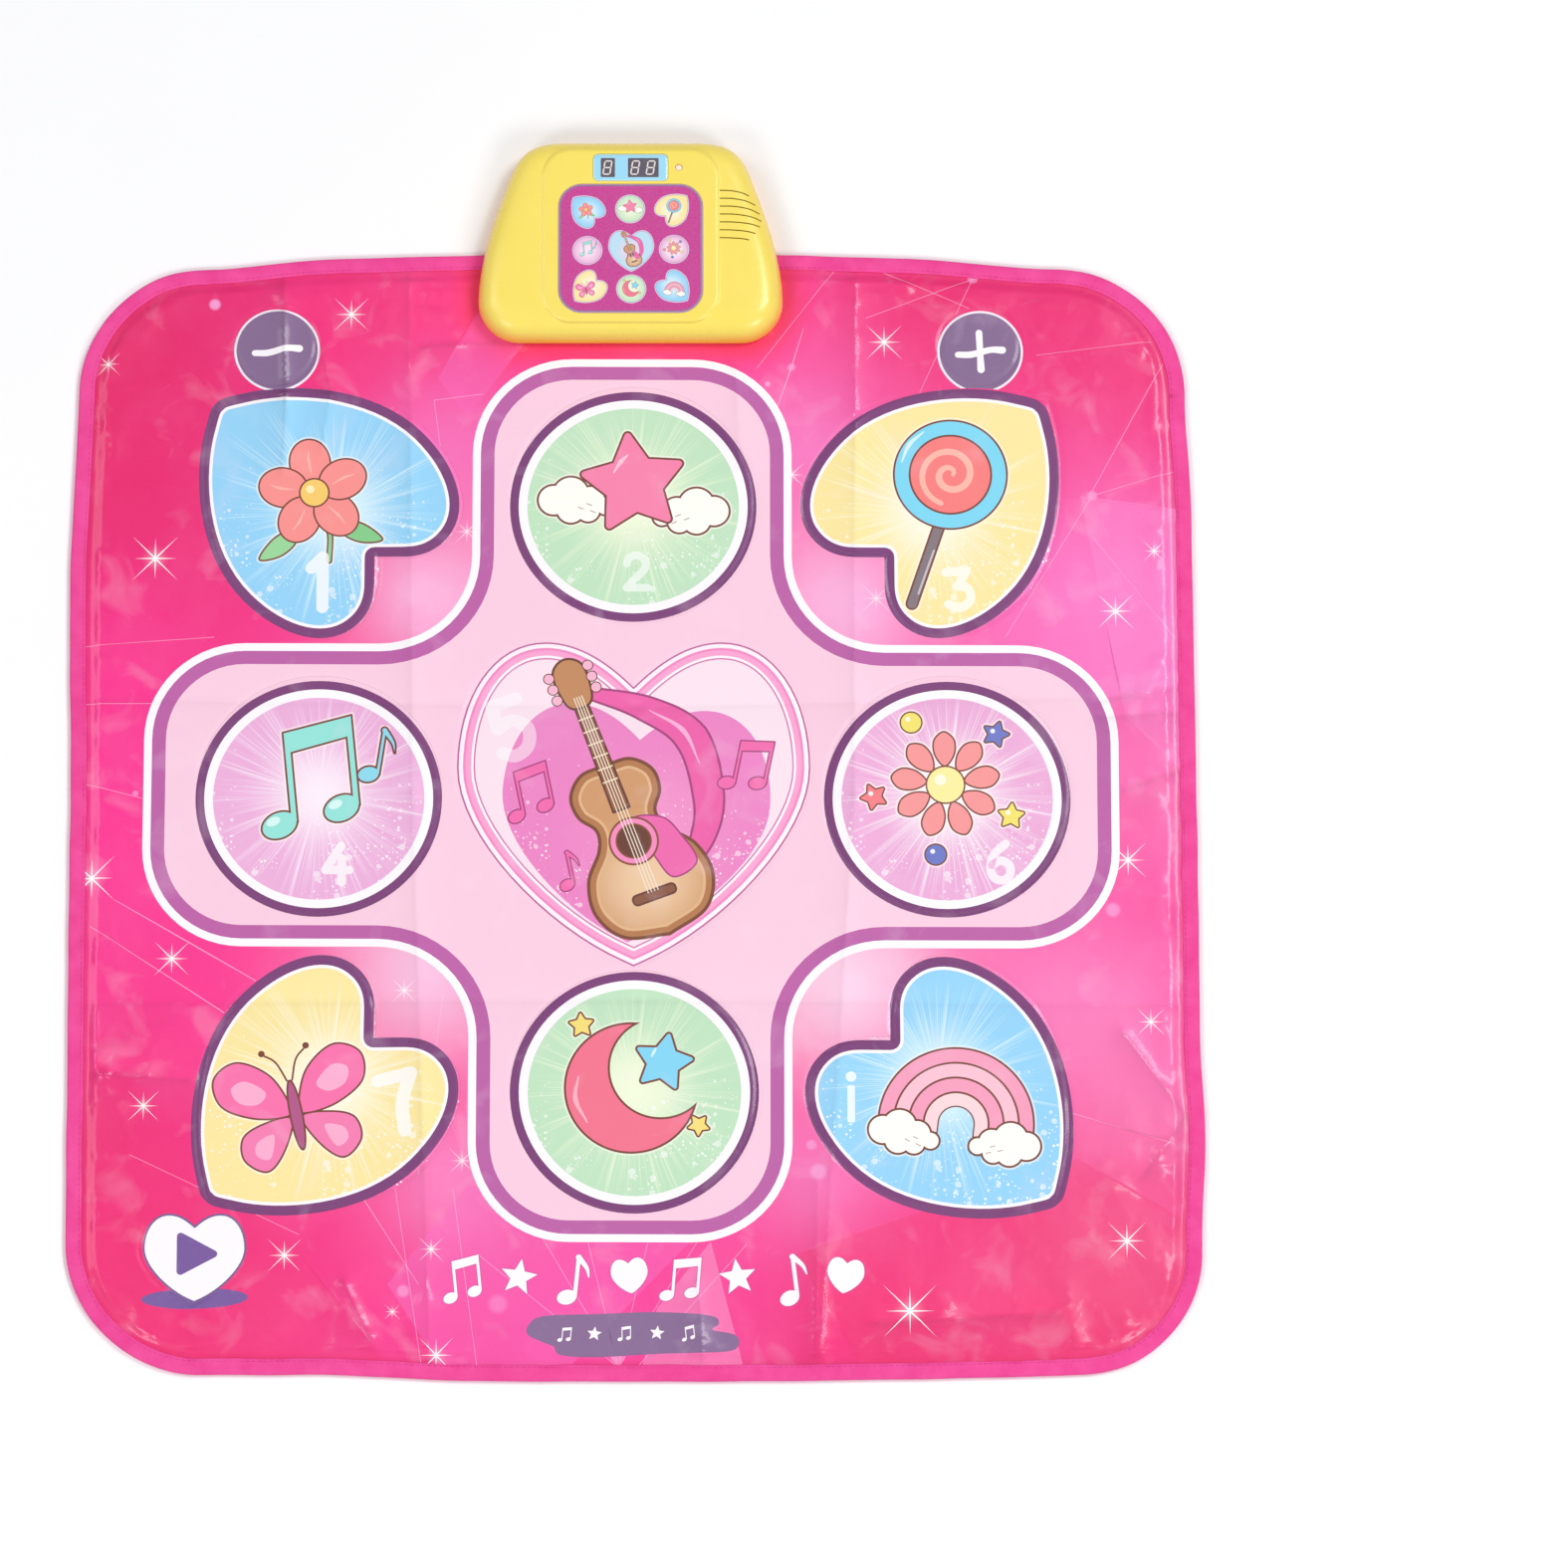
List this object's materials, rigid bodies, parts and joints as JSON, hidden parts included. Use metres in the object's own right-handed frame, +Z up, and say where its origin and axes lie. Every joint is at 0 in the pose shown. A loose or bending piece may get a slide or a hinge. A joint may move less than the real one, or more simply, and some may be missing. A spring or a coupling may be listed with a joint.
{
  "type": "electronic dance mat",
  "caption": "Soft square floor mat of layered sheets with pressure-sensing step zones, and a moulded control box with display and loudspeaker clamped on one edge.",
  "frame": {"origin": "on the floor, under the middle of the box round mat and control box", "axes": "+Y from the player towards the control box, +X to the player's right, +Z up from the floor"},
  "size_m": [0.9, 1.02, 0.0336],
  "materials": {
    "base_sheet": "matte",
    "circuit_film": "satin",
    "foam": "matte",
    "top_film": "satin",
    "binding_tape": "satin",
    "pad_blue": "satin",
    "pad_green": "satin",
    "pad_yellow": "satin",
    "pad_orchid": "satin",
    "pad_pink": "satin",
    "key_purple": "satin",
    "key_white": "satin",
    "carbon_ink": "matte",
    "housing_yellow": "gloss",
    "lens_blue": "gloss",
    "label_magenta": "satin",
    "digit_dark": "satin",
    "light_lens": "gloss",
    "circuit_board": "satin",
    "ribbon": "satin",
    "white_plastic": "satin",
    "speaker_metal": "satin",
    "speaker_paper": "matte",
    "battery_cell": "gloss",
    "contact_steel": "satin",
    "screw_steel": "satin",
    "switch_black": "satin"
  },
  "bodies": {
    "mat": {"bottom_cover": "base_sheet", "lower_circuit_film": "circuit_film", "foam_spacer": "foam", "upper_circuit_film": "circuit_film", "top_cover": "top_film", "edge_binding": "binding_tape", "housing_bottom": "housing_yellow", "housing_top": "housing_yellow", "display_lens": "lens_blue", "control_label": "label_magenta", "digit_single": "digit_dark", "digit_double": "digit_dark", "status_light": "light_lens", "display_board": "circuit_board", "main_board": "circuit_board", "ribbon_lead": "ribbon", "tail_clamp_bar": "white_plastic", "speaker_frame": "speaker_metal", "speaker_cone": "speaker_paper", "battery_cell_1": "battery_cell", "battery_cell_2": "battery_cell", "battery_cell_3": "battery_cell", "battery_contacts_left": "contact_steel", "battery_contacts_right": "contact_steel", "power_switch_body": "switch_black", "case_screw_1": "screw_steel", "case_screw_2": "screw_steel", "case_screw_3": "screw_steel", "case_screw_4": "screw_steel", "clamp_screw_1": "screw_steel", "clamp_screw_2": "screw_steel"},
    "pad_1": {"pad_1_face": "pad_blue", "pad_1_contact": "carbon_ink"},
    "pad_2": {"pad_2_face": "pad_green", "pad_2_contact": "carbon_ink"},
    "pad_3": {"pad_3_face": "pad_yellow", "pad_3_contact": "carbon_ink"},
    "pad_4": {"pad_4_face": "pad_orchid", "pad_4_contact": "carbon_ink"},
    "pad_5": {"pad_5_face": "pad_pink", "pad_5_contact": "carbon_ink"},
    "pad_6": {"pad_6_face": "pad_orchid", "pad_6_contact": "carbon_ink"},
    "pad_7": {"pad_7_face": "pad_yellow", "pad_7_contact": "carbon_ink"},
    "pad_8": {"pad_8_face": "pad_blue", "pad_8_contact": "carbon_ink"},
    "pad_9": {"pad_9_face": "pad_green", "pad_9_contact": "carbon_ink"},
    "key_minus": {"key_minus_face": "key_purple", "key_minus_contact": "carbon_ink"},
    "key_plus": {"key_plus_face": "key_purple", "key_plus_contact": "carbon_ink"},
    "key_start": {"key_start_face": "key_white", "key_start_contact": "carbon_ink"},
    "power_switch": {"power_switch_knob": "switch_black"},
    "battery_door": {"battery_door": "housing_yellow", "battery_door_screw": "screw_steel"}
  },
  "joints": [
    {"name": "pad_1_press", "type": "slide", "parent": "mat", "child": "pad_1", "axis": [0, 0, -1], "range_m": [0, 0.0015], "stiffness_N_per_m": 3000, "springref_m": -0.0004},
    {"name": "pad_2_press", "type": "slide", "parent": "mat", "child": "pad_2", "axis": [0, 0, -1], "range_m": [0, 0.0015], "stiffness_N_per_m": 3000, "springref_m": -0.0004},
    {"name": "pad_3_press", "type": "slide", "parent": "mat", "child": "pad_3", "axis": [0, 0, -1], "range_m": [0, 0.0015], "stiffness_N_per_m": 3000, "springref_m": -0.0004},
    {"name": "pad_4_press", "type": "slide", "parent": "mat", "child": "pad_4", "axis": [0, 0, -1], "range_m": [0, 0.0015], "stiffness_N_per_m": 3000, "springref_m": -0.0004},
    {"name": "pad_5_press", "type": "slide", "parent": "mat", "child": "pad_5", "axis": [0, 0, -1], "range_m": [0, 0.0015], "stiffness_N_per_m": 3000, "springref_m": -0.0004},
    {"name": "pad_6_press", "type": "slide", "parent": "mat", "child": "pad_6", "axis": [0, 0, -1], "range_m": [0, 0.0015], "stiffness_N_per_m": 3000, "springref_m": -0.0004},
    {"name": "pad_7_press", "type": "slide", "parent": "mat", "child": "pad_7", "axis": [0, 0, -1], "range_m": [0, 0.0015], "stiffness_N_per_m": 3000, "springref_m": -0.0004},
    {"name": "pad_8_press", "type": "slide", "parent": "mat", "child": "pad_8", "axis": [0, 0, -1], "range_m": [0, 0.0015], "stiffness_N_per_m": 3000, "springref_m": -0.0004},
    {"name": "pad_9_press", "type": "slide", "parent": "mat", "child": "pad_9", "axis": [0, 0, -1], "range_m": [0, 0.0015], "stiffness_N_per_m": 3000, "springref_m": -0.0004},
    {"name": "key_minus_press", "type": "slide", "parent": "mat", "child": "key_minus", "axis": [0, 0, -1], "range_m": [0, 0.0015], "stiffness_N_per_m": 3000, "springref_m": -0.0004},
    {"name": "key_plus_press", "type": "slide", "parent": "mat", "child": "key_plus", "axis": [0, 0, -1], "range_m": [0, 0.0015], "stiffness_N_per_m": 3000, "springref_m": -0.0004},
    {"name": "key_start_press", "type": "slide", "parent": "mat", "child": "key_start", "axis": [0, 0, -1], "range_m": [0, 0.0015], "stiffness_N_per_m": 3000, "springref_m": -0.0004},
    {"name": "power_switch_slide", "type": "slide", "parent": "mat", "child": "power_switch", "axis": [1, 0, 0], "range_m": [0, 0.004]},
    {"name": "battery_door_hinge", "type": "hinge", "parent": "mat", "child": "battery_door", "pos_m": [-0.026, 0.4204, 0], "axis": [-1, 0, 0], "range_deg": [0, 80]}
  ]
}
